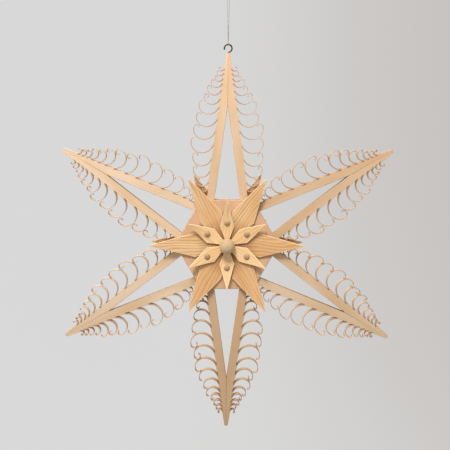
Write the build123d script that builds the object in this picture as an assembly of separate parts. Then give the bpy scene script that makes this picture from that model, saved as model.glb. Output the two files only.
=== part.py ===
"""Hanging double-sided wooden star with curled shavings, in millimetres.

Frame: +Z is up and the star hangs in the XZ plane with its front towards -Y.
The origin is the top of the hanging loop, where the loop bears on a nail.
Around the star, places are given by ray: u runs outwards from the hub centre
along a ray, v runs sideways from the ray's axis, and d is the depth from the
star's middle plane. Rays and petals are named by the clock, seen from the front.
"""
import os
from math import asin, cos, pi, radians, sin, sqrt, tan

from build123d import *

# ---------------------------------------------------------------- rays
STAR_RADIUS = 147.0          # hub centre to the blunt tip of a ray
TIP_HALF_WIDTH = 1.3         # half the width of the blunt tip
TIP_ROUNDING = 0.9           # corner radius of the blunt tip
SLAT_WIDTH = 6.6
SLAT_DEPTH = 5.0
SLAT_SLOPE = 7.8             # degrees between a slat and its ray's axis

# ---------------------------------------------------------------- shavings
CURLS_PER_SLAT = 14
SHAVING = 0.65               # thickness of a shaving
FIRST_CURL = 11.3            # root of the outermost curl, back from the tip
SMALL_CURL = 2.3             # radius of the first sweep at both ends of a slat
LARGE_CURL = 9.6             # the same on the largest curl
CURL_PEAK_SKEW = 1.55        # moves the largest curl towards the hub
CURL_GAP = 0.75              # between a curl's hook and the back of the next curl
SECOND_SWEEP = 0.82          # radius of the second sweep over the first
HOOK = 0.26                  # radius of the closing hook over the first sweep
HOOK_TURN = 135.0            # degrees the hook turns through
NOTCH_ANGLE = 12.0           # degrees the slit behind a shaving opens to
CURL_VARIETY = 0.05          # natural variation of size between curls
LEAST_CURL = 1.85            # no curl smaller than this where the sector narrows
FITTING_ROUNDS = 12          # a smaller curl needs a new place, so both are found together
RAY_GAP = 0.5                # between the curls of neighbouring rays

# ---------------------------------------------------------------- hub
PLATE_APOTHEM = 35.0         # hexagonal plate, centre to flat
PLATE_THICKNESS = 2.0
PLATE_CHAMFER = 0.3
DOWEL_RADIUS = 2.0
BALL_RADIUS = 6.0
BALL_SEAT_GAP = 0.3          # between the ball and the small petals
DOWEL_IN_BALL = 4.5          # how far the dowel runs into each ball
FIT = 0.03                   # radial clearance of dowels and pegs in their holes
GLUE_GAP = 0.05              # round the core and under the peg heads

# ---------------------------------------------------------------- petals
PETAL_THICKNESS = 1.4
LARGE_PETAL_LENGTH = 60.0    # hub centre to tip
LARGE_PETAL_WIDEST_AT = 25.0
LARGE_PETAL_WIDTH = 19.0
LARGE_PETAL_FLAT_TO = 12.0   # flat on its seat up to here, then bent outwards
LARGE_PETAL_RISE = 6.5       # how far the tip is bent outwards
SMALL_PETAL_LENGTH = 34.4
SMALL_PETAL_WIDEST_AT = 14.8
SMALL_PETAL_WIDTH = 12.5
SMALL_PETAL_FLAT_TO = 8.0
SMALL_PETAL_RISE = 6.0
PETAL_INNER_END = 4.0        # hub centre to the cut inner end of every petal
PETAL_TIP_WIDTH = 0.6

# ---------------------------------------------------------------- pegs
PEG_INSET = 3.0              # peg back from the flat of the core that faces its ray
PEG_RADIUS = 1.3
PEG_HEAD_RADIUS = 2.4
PEG_HEAD_HEIGHT = 1.7
PEG_IN_CORE = 1.4            # how far the peg runs into the core

# ---------------------------------------------------------------- screw eye
EYE_RADIUS = 2.9             # centreline of the ring
WIRE_RADIUS = 0.6
EYE_OPENING = 70.0           # degrees left open between the ring's end and its shank
SHANK_LENGTH = 13.0
SHANK_RADIUS = 0.6

# ---------------------------------------------------------------- thread
THREAD_RADIUS = 0.2
THREAD_DROP = 43.0           # knot centre down to the ring's wire
THREAD_CLEARANCE = 0.15      # between the thread and the ring's wire
STRAND_SPREAD = 1.0          # each strand's sideways offset where it enters the knot
STRAND_DEPTH = 0.35          # each strand's offset along Y where it enters the knot
KNOT_RADIUS = 1.4
KNOT_HALF_HEIGHT = 1.7
KNOT_CLEARANCE = 0.1         # round the strands' ends, so that the thread can twist
LOOP_HEIGHT = 15.0           # knot centre up to the top of the hanging loop
LOOP_HALF_WIDTH = 3.8

# ---------------------------------------------------------------- what follows from them
SLOPE = radians(SLAT_SLOPE)
RAY_APEX = STAR_RADIUS + TIP_HALF_WIDTH / tan(SLOPE)
CROTCH = RAY_APEX - SLAT_WIDTH / sin(SLOPE)
HALF_SECTOR = radians(30.0)
OUTER_MITRE = RAY_APEX * tan(SLOPE) / (tan(HALF_SECTOR) + tan(SLOPE))
INNER_MITRE = CROTCH * tan(SLOPE) / (tan(HALF_SECTOR) + tan(SLOPE))
CORE_CORNER = INNER_MITRE / cos(HALF_SECTOR) - GLUE_GAP
PEG_AT = INNER_MITRE - PEG_INSET
PLATE_SEAT = SLAT_DEPTH / 2
LARGE_SEAT = PLATE_SEAT + PLATE_THICKNESS
SMALL_SEAT = LARGE_SEAT + PETAL_THICKNESS
PETALS_TOP = SMALL_SEAT + PETAL_THICKNESS
BALL_DEPTH = PETALS_TOP + sqrt((BALL_RADIUS + BALL_SEAT_GAP) ** 2 - PETAL_INNER_END ** 2)
DOWEL_END = BALL_DEPTH - BALL_RADIUS + DOWEL_IN_BALL
KNOT_Z = -LOOP_HEIGHT
WIRE_Z = KNOT_Z - THREAD_DROP
RING_Z = WIRE_Z - EYE_RADIUS
HUB_Z = RING_Z - EYE_RADIUS - WIRE_RADIUS - STAR_RADIUS
RAYS = {"12": 90, "02": 30, "04": -30, "06": -90, "08": -150, "10": 150}
BETWEEN_RAYS = {"01": 60, "03": 0, "05": -60, "07": -120, "09": 180, "11": 120}
FACES = {"front": -1, "back": 1}


def star_point(ray_degrees, side, u, v, depth=0.0):
    """Place (u, v) of one side of a ray into the star's frame."""
    angle = radians(ray_degrees)
    x = u * cos(angle) + side * v * sin(angle)
    z = u * sin(angle) - side * v * cos(angle)
    return Vector(x, depth, HUB_Z + z)


# ---------------------------------------------------------------- slats with their shavings
def hook_centre(radius):
    """Hook radius and centre of a curl, from its root along and out of the edge."""
    hook_radius = max(radius * HOOK, SHAVING)
    along = radius * (1 - SECOND_SWEEP)
    out = radius - SHAVING / 2 + radius * SECOND_SWEEP - hook_radius
    return hook_radius, along, out


def root_spacing(radius, next_radius):
    """Spacing that keeps a curl's hook clear of the next curl towards the tip."""
    hook_radius, along, out = hook_centre(radius)
    rise = out - (next_radius - SHAVING / 2)
    sweep = SECOND_SWEEP if rise > 0 else 1.0
    reach = next_radius * sweep + hook_radius + SHAVING + CURL_GAP
    return sqrt(reach ** 2 - rise ** 2) - along + next_radius * (1 - sweep)


def widest_curl(root):
    """Radius of the largest curl at this root that stays in its ray's sector."""
    limit_angle = HALF_SECTOR + SLOPE
    from_corner = (root - OUTER_MITRE) / cos(SLOPE)
    room = from_corner * sin(limit_angle) - SHAVING / 2 - RAY_GAP / 2
    return room / (1 + cos(limit_angle))


def curl_radii_and_roots(variety_phase):
    """First-sweep radius and root place (u) of every curl, from the tip inwards."""
    curls = []
    root = STAR_RADIUS - FIRST_CURL
    for number in range(CURLS_PER_SLAT):
        share = number / (CURLS_PER_SLAT - 1)
        swell = sin(pi * share ** CURL_PEAK_SKEW)
        radius = SMALL_CURL + (LARGE_CURL - SMALL_CURL) * swell
        radius *= 1 + CURL_VARIETY * sin(2.4 * number + variety_phase)
        if curls:
            next_radius, next_root = curls[-1]
            for _ in range(FITTING_ROUNDS):
                root = next_root - root_spacing(radius, next_radius) * cos(SLOPE)
                radius = min(radius, widest_curl(root))
                if radius < LEAST_CURL:
                    return curls
        curls.append((radius, root))
    return curls


class EdgeFrame:
    """Places measured from one root: a towards the hub along the edge, b out of it."""

    def __init__(self, place, root):
        self.place = place
        self.u = root
        self.v = (RAY_APEX - root) * tan(SLOPE)

    def point(self, a, b):
        u = self.u - a * cos(SLOPE) + b * sin(SLOPE)
        v = self.v + a * sin(SLOPE) + b * cos(SLOPE)
        return self.place(u, v)


def on_sweep(sweep, heading, offset):
    """Point beside a sweep's centreline at a heading in degrees, offset outwards."""
    (centre_a, centre_b), radius = sweep
    reach = radius + offset
    angle = radians(heading)
    return centre_a + reach * sin(angle), centre_b - reach * cos(angle)


def curl_sweeps(radius):
    """The three tangent arcs of a curl: centre, radius, first and last heading."""
    half = SHAVING / 2
    first = ((0.0, radius - half), radius)
    second_radius = radius * SECOND_SWEEP
    second = ((radius - second_radius, radius - half), second_radius)
    hook_radius, along, out = hook_centre(radius)
    hook = ((along, out), hook_radius)
    return [(first, 0.0, 90.0), (second, 90.0, 180.0), (hook, 180.0, 180.0 + HOOK_TURN)]


def arc_on(frame, sweep, start, end, offset):
    points = [on_sweep(sweep, heading, offset) for heading in (start, (start + end) / 2, end)]
    return ThreePointArc(*[frame.point(a, b) for a, b in points])


def curl_outline(frame, radius):
    """Edges of one shaving, out along its convex face and back along the other."""
    half = SHAVING / 2
    sweeps = curl_sweeps(radius)
    edges = []
    for sweep, start, end in sweeps:
        first_heading = max(start, NOTCH_ANGLE)
        edges.append(arc_on(frame, sweep, first_heading, end, half))
    hook, _, last_heading = sweeps[-1]
    outer_end = frame.point(*on_sweep(hook, last_heading, half))
    inner_end = frame.point(*on_sweep(hook, last_heading, -half))
    edges.append(Line(outer_end, inner_end))
    for sweep, start, end in reversed(sweeps):
        edges.append(arc_on(frame, sweep, end, start, -half))
    return edges


def slat_edges(place, variety_phase):
    """Closed outline of one slat in its ray's half, starting at the outer mitre corner."""
    outer_corner = place(OUTER_MITRE, OUTER_MITRE * tan(HALF_SECTOR))
    inner_corner = place(INNER_MITRE, INNER_MITRE * tan(HALF_SECTOR))
    edges = []
    here = outer_corner
    for radius, root in reversed(curl_radii_and_roots(variety_phase)):
        frame = EdgeFrame(place, root)
        curl = curl_outline(frame, radius)
        edges.append(Line(here, curl[0] @ 0))
        edges.extend(curl)
        here = curl[-1] @ 1
    along = tan(SLOPE / 2 + pi / 4)
    rounding_run = TIP_ROUNDING / along
    shoulder_u = STAR_RADIUS - rounding_run * cos(SLOPE)
    shoulder = place(shoulder_u, (RAY_APEX - shoulder_u) * tan(SLOPE))
    crown = place(STAR_RADIUS, TIP_HALF_WIDTH - rounding_run)
    edges.append(Line(here, shoulder))
    bend = place(
        STAR_RADIUS - TIP_ROUNDING * (1 - cos(pi / 4 - SLOPE / 2)),
        TIP_HALF_WIDTH - rounding_run + TIP_ROUNDING * sin(pi / 4 - SLOPE / 2),
    )
    edges.append(ThreePointArc(shoulder, bend, crown))
    corners = [crown, place(STAR_RADIUS, 0), place(CROTCH, 0), inner_corner, outer_corner]
    edges.extend(Line(start, end) for start, end in zip(corners, corners[1:]))
    return edges


def slat(ray_degrees, side, variety_phase):
    def place(u, v):
        return star_point(ray_degrees, side, u, v, -SLAT_DEPTH / 2)

    outline = Wire(slat_edges(place, variety_phase))
    return extrude(Face(outline), SLAT_DEPTH, dir=(0, 1, 0))


# ---------------------------------------------------------------- hub
def hexagon_prism(corner_radius, depth):
    """Hexagon with a corner on +X, its middle plane at the star's."""
    corners = [star_point(60 * number, 1, corner_radius, 0, -depth / 2) for number in range(6)]
    return extrude(Face(Wire.make_polygon(corners)), depth, dir=(0, 1, 0))


def depth_cylinder(radius, start, end):
    """Cylinder along Y on the hub's axis."""
    plane = Plane(origin=(0, start, HUB_Z), x_dir=(1, 0, 0), z_dir=(0, 1, 0))
    return extrude(plane * Circle(radius), end - start)


def petal_bend(flat_to, length, rise):
    return ((length - flat_to) ** 2 + rise ** 2) / (2 * rise)


SMALL_BEND = petal_bend(SMALL_PETAL_FLAT_TO, SMALL_PETAL_LENGTH, SMALL_PETAL_RISE)
PEG_TILT = asin((PEG_AT - SMALL_PETAL_FLAT_TO) / (SMALL_BEND - PETAL_THICKNESS))
PEG_SEAT = SMALL_SEAT + SMALL_BEND - (SMALL_BEND - PETAL_THICKNESS) * cos(PEG_TILT)
PEG_SHANK = (PEG_SEAT - PLATE_SEAT + PEG_IN_CORE) / cos(PEG_TILT)


def peg_plane(ray_degrees, face):
    """Plane on the top face of a small petal at its peg, +Z out of the petal."""
    seat = star_point(ray_degrees, 1, PEG_AT, 0, face * PEG_SEAT)
    ray = star_point(ray_degrees, 1, 1, 0) - star_point(ray_degrees, 1, 0, 0)
    outwards = Vector(0, face, 0) * cos(PEG_TILT) - ray * sin(PEG_TILT)
    return Plane(origin=seat, x_dir=Vector(0, face, 0).cross(ray), z_dir=outwards)


def peg_hole(ray_degrees, face):
    drill = Pos(0, 0, 1 - PEG_SHANK / 2) * Cylinder(PEG_RADIUS + FIT, PEG_SHANK + 2)
    return peg_plane(ray_degrees, face) * drill


def peg(ray_degrees, face):
    """Round peg with a domed head that seats on the petal."""
    dome_radius = (PEG_HEAD_RADIUS ** 2 + PEG_HEAD_HEIGHT ** 2) / (2 * PEG_HEAD_HEIGHT)
    dome = Pos(0, 0, GLUE_GAP + PEG_HEAD_HEIGHT - dome_radius) * Sphere(dome_radius)
    above_petal = Pos(0, 0, GLUE_GAP + dome_radius) * Cylinder(PEG_HEAD_RADIUS * 2, 2 * dome_radius)
    shank_top = GLUE_GAP + PEG_HEAD_HEIGHT / 2
    shank_length = PEG_SHANK + shank_top - GLUE_GAP
    shank_body = Pos(0, 0, shank_top - shank_length / 2) * Cylinder(PEG_RADIUS, shank_length)
    return peg_plane(ray_degrees, face) * (shank_body + (dome & above_petal))


def plate(face):
    body = hexagon_prism(PLATE_APOTHEM / cos(HALF_SECTOR), PLATE_THICKNESS)
    outer_face = body.faces().sort_by(Axis.Y)[0 if face < 0 else -1]
    body = chamfer(outer_face.edges(), PLATE_CHAMFER)
    body = Pos(0, face * (PLATE_SEAT + PLATE_THICKNESS / 2), 0) * body
    body -= depth_cylinder(DOWEL_RADIUS + FIT, -DOWEL_END, DOWEL_END)
    for ray_degrees in RAYS.values():
        body -= peg_hole(ray_degrees, face)
    return body


def hub_core():
    body = hexagon_prism(CORE_CORNER, SLAT_DEPTH)
    body -= depth_cylinder(DOWEL_RADIUS + FIT, -DOWEL_END, DOWEL_END)
    for ray_degrees in RAYS.values():
        for face in FACES.values():
            body -= peg_hole(ray_degrees, face)
    return body


def ball(face):
    body = Pos(0, face * BALL_DEPTH, HUB_Z) * Sphere(BALL_RADIUS)
    return body - depth_cylinder(DOWEL_RADIUS + FIT, -DOWEL_END - GLUE_GAP, DOWEL_END + GLUE_GAP)


# ---------------------------------------------------------------- petals
def petal(degrees_round, face, seat, length, widest_at, width, flat_to, rise):
    """Kite-shaped leaf, flat on its seat near the hub and bent outwards to its tip."""
    bend = petal_bend(flat_to, length, rise)
    turn = asin((length - flat_to) / bend)
    inner_half = PETAL_INNER_END * (width / 2) / widest_at
    kite = [
        (PETAL_INNER_END, -inner_half), (widest_at, -width / 2), (length, -PETAL_TIP_WIDTH / 2),
        (length, PETAL_TIP_WIDTH / 2), (widest_at, width / 2), (PETAL_INNER_END, inner_half),
    ]
    blank_depth = PETAL_THICKNESS + rise + 2
    outline = Face(Wire.make_polygon([Vector(u, v, -1) for u, v in kite]))
    blank = extrude(outline, blank_depth, dir=(0, 0, 1))

    def bent(reach, share):
        angle = turn * share
        return flat_to + reach * sin(angle), bend - reach * cos(angle)

    inner_reach = bend - PETAL_THICKNESS
    low = [bent(bend, share) for share in (0, 0.5, 1.02)]
    high = [bent(inner_reach, share) for share in (1.08, 0.5, 0)]
    section = Wire([
        Line((0, 0), low[0]),
        ThreePointArc(*low),
        Line(low[2], high[0]),
        ThreePointArc(*high),
        Line(high[2], (0, PETAL_THICKNESS)),
        Line((0, PETAL_THICKNESS), (0, 0)),
    ])
    sheet = extrude(Plane.XZ * Face(section), width, both=True)
    leaf = blank & sheet
    origin = star_point(degrees_round, 1, 0, 0, face * seat)
    ray = star_point(degrees_round, 1, 1, 0) - star_point(degrees_round, 1, 0, 0)
    return Plane(origin=origin, x_dir=ray, z_dir=(0, face, 0)) * leaf


def large_petal(degrees_round, face):
    return petal(
        degrees_round, face, LARGE_SEAT, LARGE_PETAL_LENGTH, LARGE_PETAL_WIDEST_AT,
        LARGE_PETAL_WIDTH, LARGE_PETAL_FLAT_TO, LARGE_PETAL_RISE,
    )


def small_petal(degrees_round, face):
    leaf = petal(
        degrees_round, face, SMALL_SEAT, SMALL_PETAL_LENGTH, SMALL_PETAL_WIDEST_AT,
        SMALL_PETAL_WIDTH, SMALL_PETAL_FLAT_TO, SMALL_PETAL_RISE,
    )
    return leaf - peg_hole(degrees_round, face)


# ---------------------------------------------------------------- screw eye
def shank(radius):
    top = RING_Z - EYE_RADIUS
    plane = Plane(origin=(0, 0, top - SHANK_LENGTH), x_dir=(1, 0, 0), z_dir=(0, 0, 1))
    return extrude(plane * Circle(radius), SHANK_LENGTH)


def screw_eye():
    """Ring of wire whose end stops just short of its own shank."""
    ring_axis = Axis((0, 0, RING_Z), (0, 1, 0))
    section = Plane(origin=(0, 0, RING_Z - EYE_RADIUS), x_dir=(0, 1, 0), z_dir=(1, 0, 0))
    ring = revolve(section * Circle(WIRE_RADIUS), ring_axis, -(360.0 - EYE_OPENING))
    joint = Pos(0, 0, RING_Z - EYE_RADIUS) * Sphere(WIRE_RADIUS)
    return ring + joint + shank(SHANK_RADIUS)


# ---------------------------------------------------------------- thread
def cord_radii(points):
    """Largest arc at each corner: 0.45 of the shorter run over the half turn's tangent."""
    radii = []
    for before, corner, after in zip(points, points[1:], points[2:]):
        run_in = Vector(*corner) - Vector(*before)
        run_out = Vector(*after) - Vector(*corner)
        half_turn = radians(run_in.get_angle(run_out)) / 2
        radii.append(0.45 * min(run_in.length, run_out.length) / tan(half_turn))
    return radii


def cord(name, points):
    radii = cord_radii(points)
    path = FilletPolyline(*points, radius=radii)
    section = Plane(origin=path @ 0, z_dir=path % 0) * Circle(THREAD_RADIUS)
    tube = sweep(section, path=path)
    expected = pi * THREAD_RADIUS ** 2 * path.length
    print(name, "length", round(path.length, 1), "radii", [round(radius, 2) for radius in radii])
    print(name, "volume", round(tube.volume, 3), "section times length", round(expected, 3))
    return tube


BIGHT = WIRE_RADIUS + THREAD_CLEARANCE + THREAD_RADIUS
THREAD_ROUTE = [
    (-STRAND_SPREAD, -STRAND_DEPTH, KNOT_Z),
    (0.0, -BIGHT, WIRE_Z - BIGHT),
    (0.0, BIGHT, WIRE_Z - BIGHT),
    (STRAND_SPREAD, STRAND_DEPTH, KNOT_Z),
]
LOOP_ROUTE = [
    (-0.5, 0.0, KNOT_Z + 0.6),
    (-0.8, 0.0, KNOT_Z + 3.2),
    (-LOOP_HALF_WIDTH, 0.0, KNOT_Z + 8.6),
    (-LOOP_HALF_WIDTH + 0.3, 0.0, THREAD_RADIUS - 1.6),
    (-1.4, 0.0, THREAD_RADIUS + 0.15),
    (1.4, 0.0, THREAD_RADIUS + 0.15),
    (LOOP_HALF_WIDTH - 0.3, 0.0, THREAD_RADIUS - 1.6),
    (LOOP_HALF_WIDTH, 0.0, KNOT_Z + 8.6),
    (0.8, 0.0, KNOT_Z + 3.2),
    (0.5, 0.0, KNOT_Z + 0.6),
]


def thread_knot(clearance=0.0):
    """Overhand knot drawn tight, a small bead of thread."""
    radius = KNOT_RADIUS + clearance
    bead = scale(Sphere(1.0), (radius, radius, KNOT_HALF_HEIGHT + clearance))
    return Pos(0, 0, KNOT_Z) * bead


# ---------------------------------------------------------------- assembly
def build_parts():
    parts = {
        "front_plate": plate(FACES["front"]),
        "back_plate": plate(FACES["back"]),
        "hub_core": hub_core(),
        "centre_dowel": depth_cylinder(DOWEL_RADIUS, -DOWEL_END, DOWEL_END),
        "front_ball": ball(FACES["front"]),
        "back_ball": ball(FACES["back"]),
        "screw_eye": screw_eye(),
        "thread_knot": thread_knot(),
        "hanging_thread": cord("hanging_thread", THREAD_ROUTE) - thread_knot(KNOT_CLEARANCE),
        "hanging_loop": cord("hanging_loop", LOOP_ROUTE) - thread_knot(),
    }
    for number, (clock, ray_degrees) in enumerate(RAYS.items()):
        for side_name, side in (("left", -1), ("right", 1)):
            wood = slat(ray_degrees, side, 1.3 * number + 0.7 * side)
            if clock == "12":
                wood -= shank(SHANK_RADIUS + FIT)
            parts[f"slat_{clock}_{side_name}"] = wood
    for face_name, face in FACES.items():
        for clock, degrees_round in BETWEEN_RAYS.items():
            parts[f"{face_name}_large_petal_{clock}"] = large_petal(degrees_round, face)
        for clock, degrees_round in RAYS.items():
            parts[f"{face_name}_small_petal_{clock}"] = small_petal(degrees_round, face)
            parts[f"{face_name}_peg_{clock}"] = peg(degrees_round, face)
    return parts


def main():
    os.makedirs("parts", exist_ok=True)
    for name, shape in build_parts().items():
        export_step(shape, f"parts/{name}.step")


main()
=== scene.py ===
"""Looks of the hanging wooden star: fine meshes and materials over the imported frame.

Everything that reaches Blender is in metres. Lengths with a name in capitals are in
millimetres, as in the CAD model, and MM turns them into metres where a mesh is made.
Around the star, (u, v, d) are a ray's own coordinates: u outwards from the hub along
the ray, v sideways from its axis, d from the star's middle plane towards the back.
"""
import random
from math import asin, atan2, copysign, cos, pi, radians, sin, sqrt, tan

import bpy
from mathutils import Matrix, Vector, noise


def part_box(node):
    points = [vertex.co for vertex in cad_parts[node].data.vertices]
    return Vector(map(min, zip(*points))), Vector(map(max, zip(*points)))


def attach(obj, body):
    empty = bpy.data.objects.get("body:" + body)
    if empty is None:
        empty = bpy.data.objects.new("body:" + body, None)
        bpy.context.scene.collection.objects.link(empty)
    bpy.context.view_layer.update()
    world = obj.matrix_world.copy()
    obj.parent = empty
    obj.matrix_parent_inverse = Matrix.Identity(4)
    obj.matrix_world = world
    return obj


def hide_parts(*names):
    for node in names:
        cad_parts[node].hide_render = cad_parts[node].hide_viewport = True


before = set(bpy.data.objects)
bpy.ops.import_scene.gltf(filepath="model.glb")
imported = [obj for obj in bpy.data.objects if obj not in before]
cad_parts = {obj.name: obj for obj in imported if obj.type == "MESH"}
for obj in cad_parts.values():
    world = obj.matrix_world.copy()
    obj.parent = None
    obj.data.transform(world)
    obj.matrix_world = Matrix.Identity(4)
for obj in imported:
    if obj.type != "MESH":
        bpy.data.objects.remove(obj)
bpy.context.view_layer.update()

MM = 0.001

# ---------------------------------------------------------------- sizes, as in the CAD model
STAR_RADIUS = 147.0
TIP_HALF_WIDTH = 1.3
TIP_ROUNDING = 0.9
SLAT_WIDTH = 6.6
SLAT_DEPTH = 5.0
SLOPE = radians(7.8)
CURLS_PER_SLAT = 14
SHAVING = 0.65
FIRST_CURL = 11.3
SMALL_CURL = 2.3
LARGE_CURL = 9.6
CURL_PEAK_SKEW = 1.55
CURL_GAP = 0.75
SECOND_SWEEP = 0.82
HOOK = 0.26
NOTCH_ANGLE = 12.0
CURL_VARIETY = 0.05
LEAST_CURL = 1.85
FITTING_ROUNDS = 12
RAY_GAP = 0.5
BALL_RADIUS = 6.0
PETAL_THICKNESS = 1.4
PETAL_INNER_END = 4.0
PETAL_TIP_WIDTH = 0.6
# The last entry of each petal shape is the strength of its painted shade in the crevices round the ball.
LARGE_PETAL = dict(length=60.0, widest_at=25.0, width=19.0, flat_to=12.0, rise=6.5, painted_shade=0.9)
SMALL_PETAL = dict(length=34.4, widest_at=14.8, width=12.5, flat_to=8.0, rise=6.0, painted_shade=0.0)
PEG_INSET = 3.0
PEG_RADIUS = 1.3
PEG_HEAD_RADIUS = 2.4
PEG_HEAD_HEIGHT = 1.7
PEG_IN_CORE = 1.4
GLUE_GAP = 0.05
EYE_RADIUS = 2.9
WIRE_RADIUS = 0.6
EYE_OPENING = 70.0
SHANK_LENGTH = 13.0
THREAD_RADIUS = 0.2
THREAD_DROP = 43.0
THREAD_CLEARANCE = 0.15
STRAND_SPREAD = 1.0
STRAND_DEPTH = 0.35
LOOP_HEIGHT = 15.0
LOOP_HALF_WIDTH = 3.8

# ---------------------------------------------------------------- what follows from them
HALF_SECTOR = radians(30.0)
RAY_APEX = STAR_RADIUS + TIP_HALF_WIDTH / tan(SLOPE)
CROTCH = RAY_APEX - SLAT_WIDTH / sin(SLOPE)
OUTER_MITRE = RAY_APEX * tan(SLOPE) / (tan(HALF_SECTOR) + tan(SLOPE))
INNER_MITRE = CROTCH * tan(SLOPE) / (tan(HALF_SECTOR) + tan(SLOPE))
PEG_AT = INNER_MITRE - PEG_INSET
PLATE_SEAT = SLAT_DEPTH / 2
LARGE_SEAT = PLATE_SEAT + 2.0
SMALL_SEAT = LARGE_SEAT + PETAL_THICKNESS
KNOT_Z = -LOOP_HEIGHT
WIRE_Z = KNOT_Z - THREAD_DROP
RING_Z = WIRE_Z - EYE_RADIUS
HUB_Z = RING_Z - EYE_RADIUS - WIRE_RADIUS - STAR_RADIUS
RAYS = {"12": 90, "02": 30, "04": -30, "06": -90, "08": -150, "10": 150}
BETWEEN_RAYS = {"01": 60, "03": 0, "05": -60, "07": -120, "09": 180, "11": 120}
FACES = {"front": -1, "back": 1}

# ---------------------------------------------------------------- fine detail, in millimetres
SHAVING_ROOT = 0.95             # thickness of a shaving where it leaves the slat
SHAVING_TIP = 0.44              # and at its free end
SHAVING_TIP_DEPTH = 0.72        # its depth at the free end over the slat's
SHAVING_EDGE = 0.07             # rounding of a shaving's long edges
SHAVING_LEAN = 0.5              # most that a free end leans to the front or back
SHAVING_WOBBLE = 0.012          # unevenness of a curl over its radius
HOOK_TURNS = (105.0, 250.0)     # least and most degrees that a free end curls round
SLAT_EDGE = 0.22                # rounding of the slats' long edges
SLAT_TIP_EDGE = 0.15            # and of their blunt tip
SLIT_REACH = 7.5                # how far the slit behind a shaving, dark with painted shadow, runs along the slat
SLIT_WIDTH = 0.3                # its width at the shaving's root
FACET_DEPTH = 0.3               # how far the knife dips below the straight edge at the slit
SEAM_INSET = 0.26               # half width of the groove where two slats meet
RIDGE_PITCH = 2.7               # between growth rings on the split petals
LARGE_RELIEF = 0.24             # height of those ridges on the large petals
SMALL_RELIEF = 0.14             # and on the small ones
PETAL_ROUND_REACH = 0.3         # a petal's faces bend off this far in from its rim
PETAL_ROUND_DEPTH = 0.16        # and by this much
BACK_SMALL_PETAL_SHIFT = 1.1    # the back's small petals are glued this much further out
CREVICE_END = 24.0              # a petal's painted shade in the crevices fades from the ball out to this u

# ---------------------------------------------------------------- tones and painted shade, as shares of another tint
SHAVING_TONE = 0.06             # how much browner a shaving is than its slat
SHAVING_ROOT_PAINTED_SHADE = 0.3         # painted shade added towards its root
SHAVING_FRONT_TONE = 0.24       # how much browner still on its cut fibres at the front and back
SLIT_SHADE = 0.8                # painted shadow in the slit behind a shaving
ROOT_SHADE = 0.15               # painted shade on the slat's edge in front of a shaving
SEAM_SHADE = 0.28               # along the seam of two slats
CROTCH_SHADE = 0.9              # painted shade where that seam opens into the narrow V
UNDERSIDE_PAINTED_SHADE = 0.15          # painted shade on the side of a petal that faces its seat

# ---------------------------------------------------------------- how pieces differ, by the clock
# The side of a ray whose slat's inner wall is darker the whole way from the crotch to the plate.
DARK_INNER_EDGE = {"10": -1, "08": -1, "02": 1, "04": 1}
# Share of browner wood in a ray's slats.
SLAT_AGE = {"12": 0.42, "02": 0.45, "04": 0.15, "06": 0.66, "08": 0.0, "10": 0.1}
# Breadth of hand-cut small petals over the usual one.
SMALL_PETAL_BREADTH = {"12": 0.88, "06": 0.94, "02": 0.98}
# Degrees that two of the back's large petals sit askew.
BACK_PETAL_LEAN = {"11": -3.6, "01": 3.6}

# ---------------------------------------------------------------- light
SKY_BELOW = 0.46                # strength of the sky's light near and below the horizon
SKY_ABOVE = 0.74                # and from high above
SKY_LEFT = 0.16                 # how much more comes from the left, and less from the right
KEY_FROM_HUB = Vector((-0.08, -0.36, 0.41))           # metres
BACK_FILL_FROM_HUB = Vector((-0.5, 0.8, 0.6))         # metres


# ---------------------------------------------------------------- helpers
def star_point(ray_degrees, side, u, v, depth):
    """Place (u, v, d) of one side of a ray, in metres in the row frame."""
    angle = radians(ray_degrees)
    x = u * cos(angle) + side * v * sin(angle)
    z = u * sin(angle) - side * v * cos(angle)
    return Vector((x, depth, HUB_Z + z)) * MM


def ray_direction(degrees_round):
    """Unit vector outwards from the hub, in the star's plane."""
    return Vector((cos(radians(degrees_round)), 0, sin(radians(degrees_round))))


def make_piece(name, points, faces, material, node, body="star", attributes=None):
    """Mesh object that stands for a CAD node. Attributes are per point: floats or vectors."""
    mesh = bpy.data.meshes.new(name)
    mesh.from_pydata([tuple(point) for point in points], [], faces)
    for label, values in (attributes or {}).items():
        if isinstance(values[0], (int, float)):
            layer = mesh.attributes.new(label, "FLOAT", "POINT")
            layer.data.foreach_set("value", values)
        else:
            layer = mesh.attributes.new(label, "FLOAT_VECTOR", "POINT")
            layer.data.foreach_set("vector", [number for value in values for number in value])
    mesh.validate()
    mesh.shade_smooth()
    mesh.set_sharp_from_angle(angle=radians(35))
    mesh.materials.append(material)
    piece = bpy.data.objects.new(name, mesh)
    bpy.context.scene.collection.objects.link(piece)
    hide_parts(node)
    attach(piece, body)
    return piece


def fix_facing(points, faces):
    """Turn every face round if the closed mesh encloses a negative volume."""
    volume = 0.0
    for face in faces:
        first = points[face[0]]
        for second, third in zip(face[1:], face[2:]):
            volume += first.dot(points[second].cross(points[third]))
    if volume < 0:
        return [tuple(reversed(face)) for face in faces]
    return faces


def lathe(profile, segments):
    """Closed solid of revolution about +Z from (radius, height) points, pole to pole."""
    points = [Vector((0, 0, profile[0][1]))]
    faces = []
    rings = profile[1:-1]
    for radius, height in rings:
        for step in range(segments):
            angle = 2 * pi * step / segments
            points.append(Vector((radius * cos(angle), radius * sin(angle), height)))
    points.append(Vector((0, 0, profile[-1][1])))
    last = len(points) - 1
    for step in range(segments):
        after = (step + 1) % segments
        faces.append((0, 1 + after, 1 + step))
        for ring in range(len(rings) - 1):
            low = 1 + ring * segments
            high = low + segments
            faces.append((low + step, low + after, high + after, high + step))
        top = 1 + (len(rings) - 1) * segments
        faces.append((last, top + step, top + after))
    return points, fix_facing(points, faces)


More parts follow.
